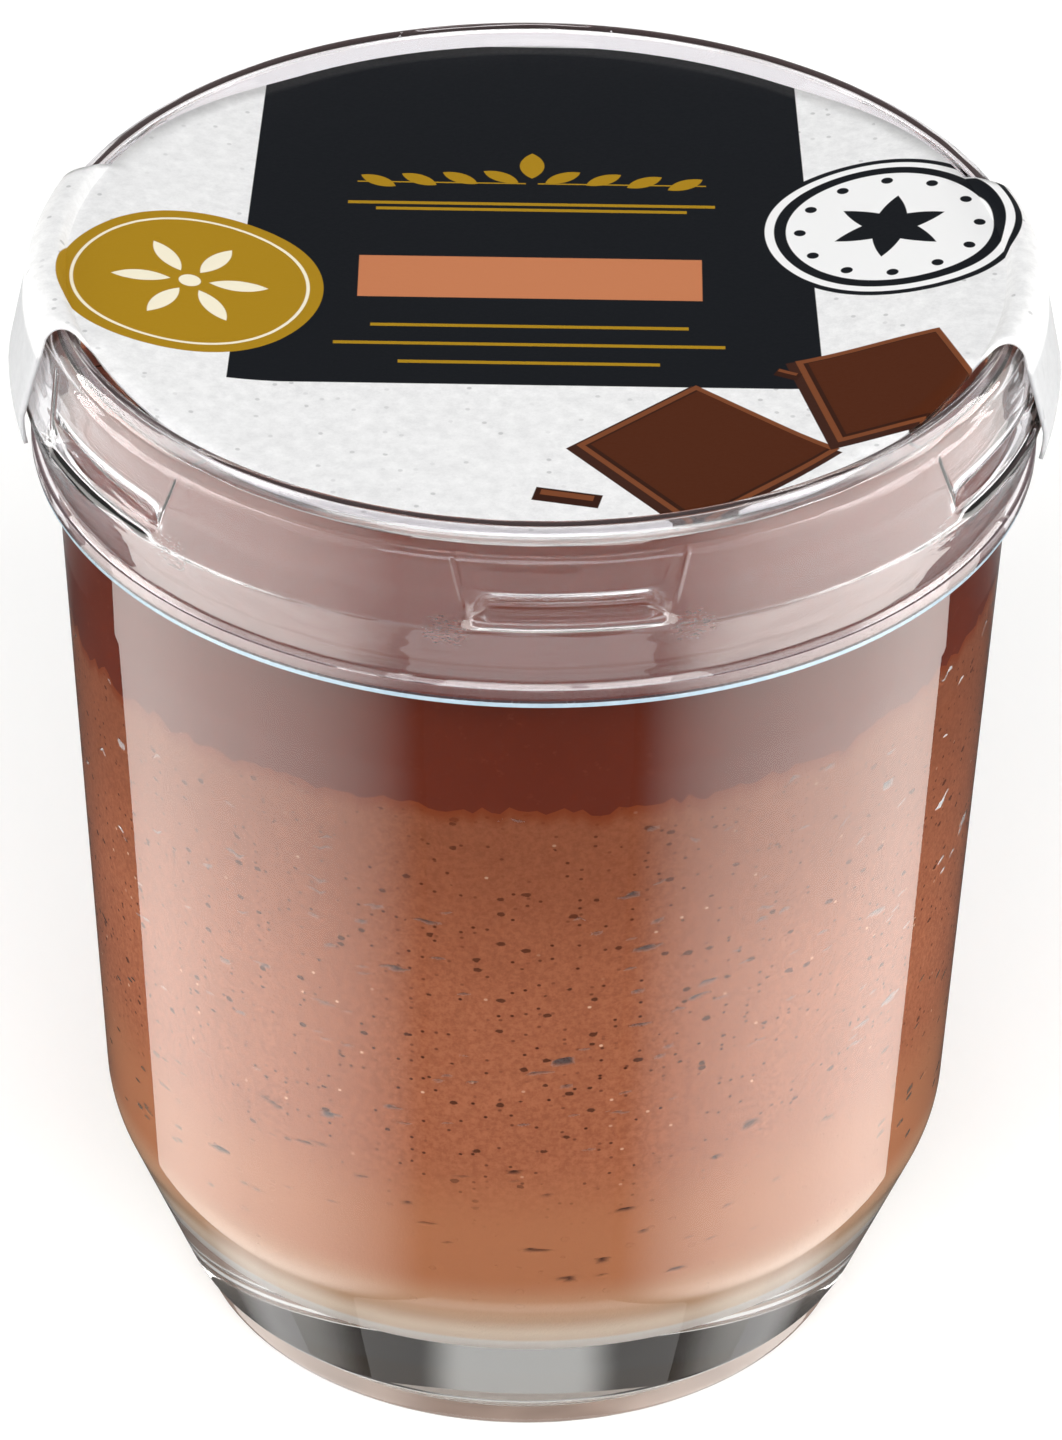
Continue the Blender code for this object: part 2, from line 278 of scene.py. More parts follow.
class Finish:
    """A material's nodes, with short calls for the ones that the finishes use."""

    def __init__(self, name):
        self.material = bpy.data.materials.new(name)
        self.material.use_nodes = True
        self.tree = self.material.node_tree
        self.shader = self.tree.nodes["Principled BSDF"]
        self.place = self.add("ShaderNodeTexCoord").outputs["Object"]

    def feed(self, socket, value):
        if isinstance(value, bpy.types.NodeSocket):
            self.tree.links.new(value, socket)
        else:
            socket.default_value = value

    def add(self, kind, inputs=(), **settings):
        node = self.tree.nodes.new(kind)
        for key, value in settings.items():
            setattr(node, key, value)
        for key, value in dict(inputs).items():
            self.feed(node.inputs[key], value)
        return node

    def math(self, operation, *values, clamp=False):
        inputs = dict(enumerate(values))
        return self.add("ShaderNodeMath", inputs, operation=operation, use_clamp=clamp).outputs[0]

    def plus(self, first, second):
        return self.math("ADD", first, second)

    def minus(self, first, second):
        return self.math("SUBTRACT", first, second)

    def times(self, first, second):
        return self.math("MULTIPLY", first, second)

    def unsigned(self, value):
        return self.math("ABSOLUTE", value)

    def split(self, vector):
        return self.add("ShaderNodeSeparateXYZ", {0: vector}).outputs

    def scaled(self, vector, *scales):
        return self.add("ShaderNodeMapping", {"Vector": vector, "Scale": scales}).outputs[0]

    def noise(self, vector, size, detail=2.0, roughness=0.5, distortion=0.0):
        """Noise of 0 to 1 whose lumps are about size metres across."""
        inputs = {"Vector": vector, "Scale": 1 / size, "Detail": detail, "Roughness": roughness,
                  "Distortion": distortion}
        return self.add("ShaderNodeTexNoise", inputs).outputs[0]

    def cells(self, vector, size):
        """Distance to the nearest scattered point, in cells, and a random number for each point."""
        node = self.add("ShaderNodeTexVoronoi", {"Vector": vector, "Scale": 1 / size},
                        voronoi_dimensions="2D")
        return node.outputs["Distance"], self.split(node.outputs["Color"])[0]

    def ramp(self, value, low, high, peak=1.0):
        """0 below low and peak above high."""
        inputs = {"Value": value, "From Min": low, "From Max": high, "To Max": peak}
        return self.add("ShaderNodeMapRange", inputs, interpolation_type="SMOOTHSTEP").outputs[0]

    def blend(self, share, first, second):
        inputs = {0: share, 6: first, 7: second}
        return self.add("ShaderNodeMix", inputs, data_type="RGBA").outputs[2]

    def bump(self, height, depth, strength=1.0):
        inputs = {"Height": height, "Distance": depth, "Strength": strength}
        self.feed(self.shader.inputs["Normal"], self.add("ShaderNodeBump", inputs).outputs[0])

    def set(self, **inputs):
        for key, value in inputs.items():
            self.feed(self.shader.inputs[key.replace("_", " ")], value)


def cylinder_place(finish):
    """Distance round the glass and height, as a vector, for marks that follow its wall."""
    x, y, z = finish.split(finish.place)
    around = finish.times(finish.math("ARCTAN2", x, finish.times(y, -1.0)), 0.03)
    return finish.add("ShaderNodeCombineXYZ", {0: around, 1: z}).outputs[0]


def glass_finish():
    finish = Finish("clear_glass")
    waves = finish.noise(finish.scaled(finish.place, 1, 1, 0.25), 14 * MM, 1.0)
    smudges = finish.ramp(finish.noise(finish.place, 9 * MM, 3.0, 0.6), 0.5, 0.8)
    finish.bump(waves, 0.05 * MM)
    finish.set(Base_Color=(0.975, 0.985, 0.985, 1.0), Transmission_Weight=1.0, IOR=1.5,
               Roughness=finish.times(smudges, 0.04))
    return finish.material


def plastic_finish():
    """Clear lid: flow lines, creases and scuffs at the dents' ends, and a faint painted glow in its crest
    and flange, which stands in for light caught there.
    """
    finish = Finish("clear_lid_plastic")
    x, y, z = finish.split(finish.place)
    spacing = 2 * math.pi / DENT_COUNT
    turns = finish.math("DIVIDE", finish.minus(finish.math("ARCTAN2", y, x), FIRST_DENT), spacing)
    share = finish.minus(finish.math("FRACT", finish.plus(turns, 0.5)), 0.5)
    away = finish.times(finish.unsigned(share), spacing * SKIRT_WIDE_RADIUS)
    above = finish.minus(z, DENT_TOP)
    lean = finish.minus(away, finish.times(above, 0.3))
    off_crease = finish.unsigned(finish.minus(lean, DENT_EDGE * SKIRT_WIDE_RADIUS))
    crease = finish.times(finish.ramp(off_crease, 0.35 * MM, 0.0), finish.ramp(z, 78.0 * MM, 79.0 * MM))
    crease = finish.times(crease, finish.ramp(z, 83.0 * MM, 82.0 * MM))
    flow = finish.noise(finish.scaled(finish.place, 1, 1, 3), 6 * MM, 1.0)
    scuffs = finish.noise(finish.scaled(finish.place, 1, 1, 4), 0.6 * MM, 2.0, 0.6)
    finish.bump(finish.plus(flow, finish.times(crease, 0.5)), 0.12 * MM)
    beside_dent = finish.unsigned(finish.minus(away, 8.4 * MM))
    off_corner = finish.unsigned(finish.minus(z, 77.0 * MM))
    corner = finish.times(finish.ramp(beside_dent, 2.4 * MM, 0.4 * MM),
                          finish.ramp(off_corner, 1.8 * MM, 0.3 * MM))
    marks = finish.times(corner, finish.ramp(scuffs, 0.56, 0.64))
    roughness = finish.plus(finish.times(flow, 0.04), finish.times(marks, 0.6))
    # Painted glow: the crest and the flange emit a faint brownish light that stands in for light caught in
    # the plastic.
    crest = finish.ramp(z, 84.2 * MM, 84.7 * MM, 0.4)
    flange = finish.ramp(z, 73.0 * MM, 72.5 * MM, 0.25)
    painted_glow = finish.times(finish.math("MAXIMUM", crest, flange), 0.22)
    finish.set(Base_Color=(0.975, 0.965, 0.985, 1.0), Transmission_Weight=1.0, IOR=1.57, Roughness=roughness,
               Emission_Color=(0.6, 0.36, 0.36, 1.0), Emission_Strength=painted_glow)
    finish.material.cycles.emission_sampling = "NONE"
    return finish.material


def cut_edge_finish():
    finish = Finish("lid_cut_edge")
    grain = finish.noise(finish.place, 0.6 * MM, 3.0)
    colour = finish.blend(grain, srgb(150, 182, 200), srgb(205, 222, 232))
    finish.set(Base_Color=colour, Transmission_Weight=0.25, IOR=1.5, Roughness=0.35)
    return finish.material


# Painted light: heights in millimetres between which the mousse turns paler towards the base, standing in
# for light gathered by the thick glass base, and each tone
PAINTED_BASE_LIGHT_DOWNWARDS = (
    (30.0, 21.0, (181, 120, 85)),
    (18.0, 13.5, (206, 170, 140)),
    (14.2, 12.0, (248, 229, 208)),
    (11.3, 10.8, (255, 252, 248)),
)


def mousse_finish():
    """Aerated brown cream: fine grain, painted shade in tiny open bubbles and inside the larger ones,
    painted glints, painted shade at the top and painted light at the base.
    """
    finish = Finish("chocolate_mousse")
    wall = cylinder_place(finish)
    height = finish.split(finish.place)[2]
    clouds = finish.noise(finish.place, 9 * MM, 3.0, 0.6)
    grain = finish.noise(finish.place, 0.45 * MM, 4.0, 0.75)
    colour = finish.blend(clouds, srgb(168, 104, 73), srgb(186, 118, 86))
    grain_dark = finish.blend(0.45, colour, srgb(124, 66, 42))
    colour = finish.blend(finish.ramp(grain, 0.33, 0.67), grain_dark, colour)
    # Painted shade: scattered dark specks stand for the shaded insides of tiny open bubbles.
    distance, chance = finish.cells(finish.scaled(wall, 0.6, 1, 1), 0.95 * MM)
    ragged = finish.plus(distance, finish.times(grain, 0.3))
    size = finish.times(finish.ramp(chance, 0.72, 1.0), 0.38)
    specks = finish.ramp(finish.minus(size, ragged), 0.0, 0.06)
    colour = finish.blend(finish.times(specks, 0.8), colour, srgb(62, 27, 15))
    # Painted highlight and shade: a few pale glints, and dark specks for the shade in small pores.
    distance, chance = finish.cells(finish.scaled(wall, 0.8, 1, 1), 0.7 * MM)
    near = finish.ramp(distance, 0.2, 0.1)
    colour = finish.blend(finish.times(finish.ramp(chance, 0.98, 1.0), near), colour, srgb(222, 184, 156))
    colour = finish.blend(finish.times(finish.ramp(chance, 0.3, 0.0), near), colour, srgb(76, 36, 22))
    top_edge = finish.add("ShaderNodeAttribute", attribute_name="below_line").outputs["Fac"]
    colour = finish.blend(finish.ramp(top_edge, 1.6 * MM, 0.0), colour, srgb(146, 68, 34))
    # Painted shade: the mousse turns darker towards the sauce, where the lid's overhang shades it.
    painted_lid_shade = finish.blend(0.55, colour, srgb(104, 50, 26))
    colour = finish.blend(finish.ramp(height, 36 * MM, 60 * MM), colour, painted_lid_shade)
    for above, below, tone in PAINTED_BASE_LIGHT_DOWNWARDS:
        colour = finish.blend(finish.ramp(height, above * MM, below * MM), colour, srgb(*tone))
    # Painted shade: the insides of the pressed-in hollows are darkened.
    hollow = finish.add("ShaderNodeAttribute", attribute_name="hollow").outputs["Fac"]
    colour = finish.blend(finish.ramp(hollow, 0.0, 0.3 * MM), colour, srgb(74, 36, 26))
    finish.bump(finish.minus(grain, specks), 0.12 * MM, 0.6)
    finish.set(Base_Color=colour, Roughness=0.7, Specular_IOR_Level=0.1)
    return finish.material


def sauce_finish():
    finish = Finish("chocolate_sauce")
    clouds = finish.noise(finish.place, 7 * MM, 3.0, 0.55)
    grain = finish.noise(finish.place, 0.8 * MM, 3.0, 0.6)
    colour = finish.blend(clouds, srgb(93, 33, 16), srgb(106, 42, 24))
    colour = finish.blend(finish.ramp(grain, 0.6, 0.8), colour, srgb(110, 50, 32))
    height = finish.split(finish.place)[2]
    # Painted light: the sauce turns a lighter brown above 70 mm, near the rim, standing in for light
    # reaching it through the clear lid.
    colour = finish.blend(finish.ramp(height, 70 * MM, 73 * MM), colour, srgb(146, 70, 50))
    finish.bump(finish.plus(clouds, finish.times(grain, 0.1)), 0.15 * MM, 0.5)
    finish.set(Base_Color=colour, Roughness=0.35, Specular_IOR_Level=0.1)
    return finish.material


class Print:
    """Flat printed shapes on the label, in millimetres across it, x to the right and y to the back."""

    EDGE = 0.06

    def __init__(self, finish, colour):
        self.finish = finish
        self.colour = colour
        x, y, _ = finish.split(finish.place)
        self.x = finish.times(x, 1000.0)
        self.y = finish.times(y, 1000.0)

    def away(self, x, y, turn=0.0):
        """How far a point lies from (x, y), along two axes turned by turn degrees."""
        sine, cosine = math.sin(math.radians(turn)), math.cos(math.radians(turn))
        dx = self.finish.minus(self.x, x)
        dy = self.finish.minus(self.y, y)
        first = self.finish.plus(self.finish.times(dx, cosine), self.finish.times(dy, sine))
        second = self.finish.minus(self.finish.times(dy, cosine), self.finish.times(dx, sine))
        return first, second

    def disc(self, x, y, radius):
        """Depth inside a disc, negative outside."""
        dx, dy = self.away(x, y)
        squares = self.finish.plus(self.finish.times(dx, dx), self.finish.times(dy, dy))
        return self.finish.minus(radius, self.finish.math("SQRT", squares))

    def ring(self, x, y, radius, width):
        depth = self.disc(x, y, radius)
        return self.finish.minus(width / 2, self.finish.unsigned(depth))

    def bar(self, x, y, width, depth, turn=0.0, flare=0.0):
        """Depth inside a rectangle, or with flare one that widens towards the front."""
        dx, dy = self.away(x, y, turn)
        half = self.finish.minus(width / 2, self.finish.times(dy, flare))
        return self.finish.math("MINIMUM", self.finish.minus(half, self.finish.unsigned(dx)),
                                self.finish.minus(depth / 2, self.finish.unsigned(dy)))

    def lens(self, x, y, length, width, turn):
        """Depth inside a pointed leaf shape made by two discs."""
        radius = (length ** 2 + width ** 2) / (4 * width)
        reach = radius - width / 2
        sine, cosine = math.sin(math.radians(turn)), math.cos(math.radians(turn))
        sides = [self.disc(x - side * reach * sine, y + side * reach * cosine, radius) for side in (1, -1)]
        return self.finish.math("MINIMUM", *sides)

    def ink(self, depth, colour, strength=1.0):
        mask = self.finish.math("DIVIDE", depth, self.EDGE, clamp=True)
        if strength != 1.0:
            mask = self.finish.times(mask, strength)
        self.colour = self.finish.blend(mask, self.colour, colour)


def label_finish():
    finish = Finish("printed_label")
    grain = finish.noise(finish.place, 1.1 * MM, 4.0, 0.8)
    stone = finish.blend(grain, srgb(206, 206, 207), srgb(255, 255, 255))
    distance, chance = finish.cells(finish.place, 1.1 * MM)
    pits = finish.times(finish.ramp(chance, 0.8, 1.0), finish.ramp(distance, 0.2, 0.1))
    stone = finish.blend(finish.times(pits, 0.5), stone, srgb(150, 150, 152))
    height = finish.split(finish.place)[2]
    # Painted shade: the wings turn grey where they run down the lid's sides.
    painted_wing_shade = finish.blend(0.6, stone, srgb(158, 160, 164))
    stone = finish.blend(finish.ramp(height, 82.9 * MM, 82.2 * MM), stone, painted_wing_shade)
    art = Print(finish, stone)
    dark, gold = srgb(14, 17, 22), srgb(166, 128, 22)
    cream, copper = srgb(240, 232, 208), srgb(193, 121, 82)
    art.ink(art.bar(-0.6, 9.0, 39.4, 47.0, flare=0.03), dark)
    draw_panel_motifs(art, gold, copper)
    draw_gold_disc(art, gold, cream)
    draw_badge(art, dark)
    draw_chocolate(art)
    fibres = finish.noise(finish.place, 0.3 * MM, 3.0, 0.6)
    finish.bump(fibres, 0.02 * MM, 0.4)
    finish.set(Base_Color=art.colour, Roughness=finish.plus(0.42, finish.times(fibres, 0.15)),
               Specular_IOR_Level=0.08)
    return finish.material


def underside_finish():
    """Bare paper, without the print."""
    finish = Finish("label_underside")
    fibres = finish.noise(finish.place, 0.5 * MM, 3.0, 0.6)
    colour = finish.blend(fibres, srgb(214, 208, 200), srgb(236, 231, 224))
    finish.set(Base_Color=colour, Roughness=0.8, Specular_IOR_Level=0.1)
    return finish.material


def draw_panel_motifs(art, gold, copper):
    """A sprig of leaves, thin rules and a copper bar on the dark panel."""
    art.ink(art.bar(-0.4, -0.3, 24.0, 5.6), copper)
    for y, width in ((9.8, 26.0), (9.0, 22.0), (-6.8, 22.0), (-9.2, 27.0), (-11.6, 18.0)):
        art.ink(art.bar(-0.4, y, width, 0.45), gold)
    for side in (-1, 1):
        for i in range(4):
            x = -0.4 + side * (2.2 + 2.9 * i)
            art.ink(art.lens(x, 13.6 - 0.25 * i, 3.0, 1.3, side * 32), gold)
        art.ink(art.bar(-0.4 + side * 6.4, 12.7, 12.0, 0.22), gold)
    art.ink(art.lens(-0.4, 15.2, 3.6, 1.8, 90), gold)


def draw_gold_disc(art, gold, cream):
    x, y, radius = -24.0, -2.4, 9.3
    art.ink(art.disc(x, y, radius), gold)
    art.ink(art.ring(x, y, radius - 1.1, 0.3), cream)
    for i in range(6):
        turn = 60 * i
        angle = math.radians(turn)
        art.ink(art.lens(x + 3.4 * math.cos(angle), y + 3.4 * math.sin(angle), 4.2, 1.4, turn), cream)
    art.ink(art.disc(x, y, 0.8), cream)


def draw_badge(art, dark):
    x, y, radius = 24.8, 6.3, 9.3
    art.ink(art.disc(x, y, radius), dark)
    art.ink(art.disc(x, y, radius - 0.5), srgb(240, 240, 240))
    art.ink(art.ring(x, y, radius - 1.6, 0.9), dark)
    for i in range(12):
        angle = math.radians(30 * i)
        art.ink(art.disc(x + 6.3 * math.cos(angle), y + 6.3 * math.sin(angle), 0.45), dark)
    for turn in (20, 80, 140):
        art.ink(art.lens(x, y, 8.4, 2.4, turn), dark)


def draw_chocolate(art):
    """Two squares of chocolate with raised borders, and two chips."""
    border, face, shade = srgb(118, 66, 38), srgb(76, 34, 13), srgb(50, 22, 10)
    for x, y, side, turn, flare in ((11.3, -22.6, 12.6, 44.0, 0.1), (24.4, -14.6, 11.0, 17.0, 0.05)):
        art.ink(art.bar(x - 0.3, y - 0.5, side + 0.6, side + 0.6, turn, flare), srgb(58, 30, 20))
        art.ink(art.bar(x, y, side, side, turn, flare), border)
        art.ink(art.bar(x, y, side - 0.9, side - 0.9, turn, flare), shade)
        art.ink(art.bar(x + 0.1, y + 0.15, side - 1.3, side - 1.3, turn, flare), face)
    for x, y, length, width, turn in ((2.3, -28.6, 4.6, 1.7, -12.0), (17.3, -12.6, 1.8, 1.0, -25.0)):
        art.ink(art.bar(x, y, length, width, turn), shade)
        art.ink(art.bar(x, y + 0.3, length * 0.8, width * 0.4, turn), border)


def floor_finish():
    finish = Finish("pale_floor")
    haze = finish.noise(finish.place, 0.2, 2.0)
    finish.set(Base_Color=finish.blend(haze, (0.93, 0.93, 0.93, 1.0), (0.95, 0.95, 0.95, 1.0)),
               Roughness=0.9, Specular_IOR_Level=0.0, Emission_Color=(1.0, 1.0, 1.0, 1.0),
               Emission_Strength=0.16)
    finish.material.cycles.emission_sampling = "NONE"
    return finish.material


# Pieces


def cavity_radius(height):
    """Radius of the inner wall at a height above the rounded cavity corner."""
    slope = (BODY_TOP_RADIUS - TURN_RADIUS) / (BODY_TOP_HEIGHT - TURN_HEIGHT)
    return TURN_RADIUS - WALL + slope * (np.minimum(height, BODY_TOP_HEIGHT) - TURN_HEIGHT)


def press_to_wall(rows):
    """Move rows of points sideways until they reach just into the glass at their own height."""
    grow = (cavity_radius(rows[..., 2]) + INTO_WALL) / np.hypot(rows[..., 0], rows[..., 1])
    rows[..., 0] *= grow
    rows[..., 1] *= grow


def cavity_profile(grow, top, steps):
    """Cavity wall from its axis point outwards and up, moved outwards by grow."""
    floor = BASE_THICKNESS - grow
    wall_low = (cavity_radius(floor) + grow, floor)
    wall_top = (cavity_radius(top) + grow, top)
    corner = rounded_corner((0.0, floor), wall_low, wall_top, CAVITY_ROUND + grow, steps)
    return [(0.0, floor)] + corner + [wall_top]


def make_glass():
    punt = [(0.0, PUNT_DEPTH), (PUNT_RADIUS, PUNT_DEPTH), (CONTACT_INNER_RADIUS, 0.0)]
    foot_edge = rounded_corner((0.0, 0.0), (FOOT_RADIUS, 0.0), (FOOT_RADIUS, FOOT_HEIGHT), FOOT_EDGE, 10)
    foot_top = rounded_corner((FOOT_RADIUS, FOOT_EDGE), (FOOT_RADIUS, FOOT_HEIGHT - FOOT_STEP / 3),
                              (BEVEL_LOW_RADIUS, FOOT_HEIGHT), 0.35 * MM, 5)
    bevel_low = rounded_corner((FOOT_RADIUS, FOOT_HEIGHT - FOOT_STEP / 3), (BEVEL_LOW_RADIUS, FOOT_HEIGHT),
                               (TURN_RADIUS, TURN_HEIGHT), 0.5 * MM, 5)
    turn = rounded_corner((BEVEL_LOW_RADIUS, FOOT_HEIGHT), (TURN_RADIUS, TURN_HEIGHT),
                          (BODY_TOP_RADIUS, BODY_TOP_HEIGHT), TURN_ROUND, 16)
    body = [(BODY_TOP_RADIUS, BODY_TOP_HEIGHT), (NECK_RADIUS, NECK_HEIGHT), (BEAD_RADIUS, BEAD_LOW)]
    rim_outer = rounded_corner((BEAD_RADIUS, BEAD_LOW), (BEAD_RADIUS, GLASS_HEIGHT), (0.0, GLASS_HEIGHT),
                               RIM_ROUND, 8)
    mouth = cavity_radius(GLASS_HEIGHT)
    rim_inner = rounded_corner((BEAD_RADIUS, GLASS_HEIGHT), (mouth, GLASS_HEIGHT), (mouth, BODY_TOP_HEIGHT),
                               RIM_ROUND, 8)
    cavity = cavity_profile(0.0, BODY_TOP_HEIGHT, 24)
    cavity.reverse()
    foot = punt + foot_edge + foot_top + bevel_low
    profile = held(foot + turn + body + rim_outer + rim_inner + cavity, 0.3 * MM)
    dress(lathe("glass_body", profile, 256), glass_finish(), "glass_tumbler")


def layer_line(x, y):
    """Height of the uneven line between mousse and sauce: lower on the left, sagging to the middle."""
    radius = np.hypot(x, y)
    across = x / np.maximum(radius, TINY)
    near_wall = np.minimum(radius / cavity_radius(SAUCE_LINE), 1.0)
    tilt = SAUCE_LINE_TILT * across ** 3 * near_wall ** 2
    height = SAUCE_LINE + tilt - SAUCE_LINE_SAG * (1 - near_wall ** 2)
    places = [Vector((px, py, 0.0)) / RIPPLE_LENGTH for px, py in zip(x.flat, y.flat)]
    ripple = [noise.fractal(place, 0.8, 2.0, 3) for place in places]
    return height + SAUCE_LINE_RIPPLE * np.array(ripple).reshape(x.shape)


def scatter_hollows(rng, columns, heights):
    """Depth of the open bubbles along the wall, one value for each grid point."""
    depth = np.zeros((len(heights), columns))
    angles = 2 * np.pi * np.arange(columns) / columns
    kinds = ((420, 0.35, 0.9, 0.09, 0.17), (110, 0.7, 1.9, 0.1, 0.2), (22, 1.0, 2.2, 0.16, 0.3))
    for count, shortest, longest, thinnest, thickest in kinds:
        for _ in range(count):
            angle = rng.uniform(0, 2 * np.pi)
            height = rng.uniform(heights[0], heights[-1])
            half_length = rng.uniform(shortest, longest) * MM / 2
            half_width = rng.uniform(thinnest, thickest) * MM
            slant = rng.uniform(-0.15, 0.25)
            near = np.abs(heights - height) < 3 * half_width + half_length * 0.3
            around = ((angles - angle + np.pi) % (2 * np.pi) - np.pi) * BODY_TOP_RADIUS
            close = np.abs(around) < 1.3 * half_length
            u = around[close][None, :]
            v = (heights[near] - height)[:, None] - slant * u
            wobble = 1 + 0.35 * np.sin(u / half_length * 5 + angle * 9)
            inside = 1 - (u / half_length) ** 2 - (v / (half_width * wobble)) ** 2
            pit = np.clip(inside * 2.5, 0, 1) * 1.5 * half_width
            window = np.ix_(near, close)
            depth[window] = np.maximum(depth[window], pit)
    return depth


def make_mousse():
    columns = CONTENT_COLUMNS
    wall_rows = WALL_ROWS
    corner = cavity_profile(INTO_WALL, SAUCE_LINE, 20)[:-1]
    wall_low = corner[-1][1]
    wall_heights = np.linspace(wall_low, SAUCE_LINE, wall_rows)
    wall = [(cavity_radius(z) + INTO_WALL, z) for z in wall_heights[1:]]
    top_radius = wall[-1][0]
    top = [(top_radius * share, SAUCE_LINE) for share in (0.9, 0.75, 0.6, 0.45, 0.3, 0.15, 0.0)]
    profile = corner + wall + top
    first_wall = len(corner) - 1
    last_wall = first_wall + wall_rows
    rng = np.random.default_rng(11)
    hollow = np.zeros((len(profile), columns))
    below = np.full((len(profile), columns), 1.0)

    def shape(grid):
        lines = layer_line(grid[last_wall - 1:, :, 0], grid[last_wall - 1:, :, 1])
        rise = (grid[first_wall:last_wall, :, 2] - wall_low) / (SAUCE_LINE - wall_low)
        grid[first_wall:last_wall, :, 2] += smooth(rise * 1.6 - 0.6) * (lines[0] - SAUCE_LINE)
        press_to_wall(grid[first_wall + 1:last_wall])
        grid[last_wall:, :, 2] = lines[1:]
        below[first_wall:last_wall] = lines[0] - grid[first_wall:last_wall, :, 2]
        hollow[first_wall:last_wall] = scatter_hollows(rng, columns, wall_heights)
        hollow[last_wall - 4:last_wall] = 0.0
        radius = np.hypot(grid[..., 0], grid[..., 1])
        pressed = 1 - hollow / np.maximum(radius, TINY)
        grid[..., 0] *= pressed
        grid[..., 1] *= pressed
        return grid

    mousse = lathe("mousse_filling", profile, columns, shape)
    for name, values in (("hollow", hollow), ("below_line", below)):
        on_axis = [r < TINY for r, _ in profile]
        flat = np.concatenate([row[:1] if pole else row for row, pole in zip(values, on_axis)])
        attribute = mousse.data.attributes.new(name, "FLOAT", "POINT")
        attribute.data.foreach_set("value", flat.astype(np.float32))
    dress(mousse, mousse_finish(), "chocolate_mousse")


def make_sauce():
    low_radius = cavity_radius(SAUCE_LINE) + INTO_WALL
    bottom = [(low_radius * share, SAUCE_LINE) for share in (0.0, 0.15, 0.3, 0.45, 0.6, 0.75, 0.9, 1.0)]
    side_rows = 40
    heights = np.linspace(SAUCE_LINE, SAUCE_EDGE_TOP, side_rows)[1:]
    side = [(cavity_radius(z) + INTO_WALL, z) for z in heights]
    top_radius = side[-1][0]
    clinging = np.linspace(0.0, 1.0, 12)[1:]
    edge_rise = SAUCE_EDGE_TOP - SAUCE_TOP
    top = [(top_radius - (0.2 + 5.0 * share ** 1.6) * MM, SAUCE_TOP + edge_rise * (1 - share) ** 3)
           for share in clinging]
    top += [(0.6 * top_radius, SAUCE_TOP), (0.0, SAUCE_TOP)]

    def shape(grid):
        lines = layer_line(grid[:len(bottom), :, 0], grid[:len(bottom), :, 1])
        last = len(bottom) - 1
        rise = (grid[last:last + side_rows, :, 2] - SAUCE_LINE) / (SAUCE_EDGE_TOP - SAUCE_LINE)
        grid[last:last + side_rows, :, 2] += smooth(1 - rise) * (lines[-1] - SAUCE_LINE)
        press_to_wall(grid[last:last + side_rows])
        grid[:len(bottom), :, 2] = lines
        return grid

    sauce = lathe("sauce_layer", bottom + side + top, CONTENT_COLUMNS, shape)
    dress(sauce, sauce_finish(), "chocolate_sauce")


def skirt_point(height):
    """Point on the skirt's flare between the shoulder and the widest ring."""
    share = (SKIRT_TOP_HEIGHT - height) / (SKIRT_TOP_HEIGHT - SKIRT_WIDE_HEIGHT)
    return (SKIRT_TOP_RADIUS + (SKIRT_WIDE_RADIUS - SKIRT_TOP_RADIUS) * share, height)


def dent_amount(x, y, z):
    """How far the skirt is pressed in at each point, from 0 to 1."""
    spacing = 2 * math.pi / DENT_COUNT
    away = np.abs((np.arctan2(y, x) - FIRST_DENT + spacing / 2) % spacing - spacing / 2)
    across = smooth((DENT_EDGE - away) / (DENT_EDGE - DENT_FLAT))
    above = (DENT_TOP - z) / (DENT_TOP - DENT_DEEPEST)
    below = (z - DENT_BOTTOM) / (DENT_DEEPEST - DENT_BOTTOM)
    return across * smooth(np.minimum(above, below))


def make_lid():
    flange_radius = SKIRT_LOW_RADIUS + FLANGE_STEP
    low = FLANGE_BOTTOM + CUT_EDGE
    panel = [(0.0, PANEL_HEIGHT), (PANEL_RADIUS, PANEL_HEIGHT),
             (PANEL_RADIUS + PANEL_FILLET, PANEL_HEIGHT + PANEL_FILLET)]
    bead = arc((CREST_RADIUS, CREST_HEIGHT - BEAD_ROUND), BEAD_ROUND, 180, 90 - CREST_SLOPE, 12)
    corner_height = SKIRT_TOP_HEIGHT + SHOULDER_CORNER_RISE
    shoulder = rounded_corner(bead[-1], skirt_point(corner_height), skirt_point(DENT_TOP), SHOULDER_ARC, 16)
    wide = rounded_corner(skirt_point(DENT_TOP), skirt_point(SKIRT_WIDE_HEIGHT),
                          (SKIRT_LOW_RADIUS, FLANGE_TOP), 1.2 * MM, 6)
    flange = [(SKIRT_LOW_RADIUS, FLANGE_TOP + FLANGE_STEP), (flange_radius, FLANGE_TOP),
              (flange_radius, low)]
    skirt = filled(shoulder[-1:] + wide[:1], 0.18 * MM)[1:-1]
    outer = held(panel + bead + shoulder, 0.2 * MM) + skirt + held(wide + flange, 0.2 * MM)
    inner = offset(outer, LID_WALL)
    inner[0] = (0.0, PANEL_HEIGHT - LID_WALL)
    inner[-1] = (flange_radius - LID_WALL, low)
    inner.reverse()

    def press(grid):
        radius = np.hypot(grid[..., 0], grid[..., 1])
        amount = dent_amount(grid[..., 0], grid[..., 1], grid[..., 2]) * (radius > PANEL_RADIUS)
        pressed = 1 - DENT_DEPTH * amount / np.maximum(radius, TINY)
        grid[..., 0] *= pressed
        grid[..., 1] *= pressed
        return grid

    profile = [(r, z) for r, z in outer + inner]
    profile.reverse()
    dress(lathe("lid_shell", profile, 600, press), plastic_finish(), "snap_lid")
    edge = [(flange_radius - LID_WALL, low), (flange_radius - LID_WALL + 0.1 * MM, FLANGE_BOTTOM),
            (flange_radius - 0.1 * MM, FLANGE_BOTTOM), (flange_radius, low)]
    dress(lathe("lid_cut_edge", edge, 360, closed=True), cut_edge_finish(), None)


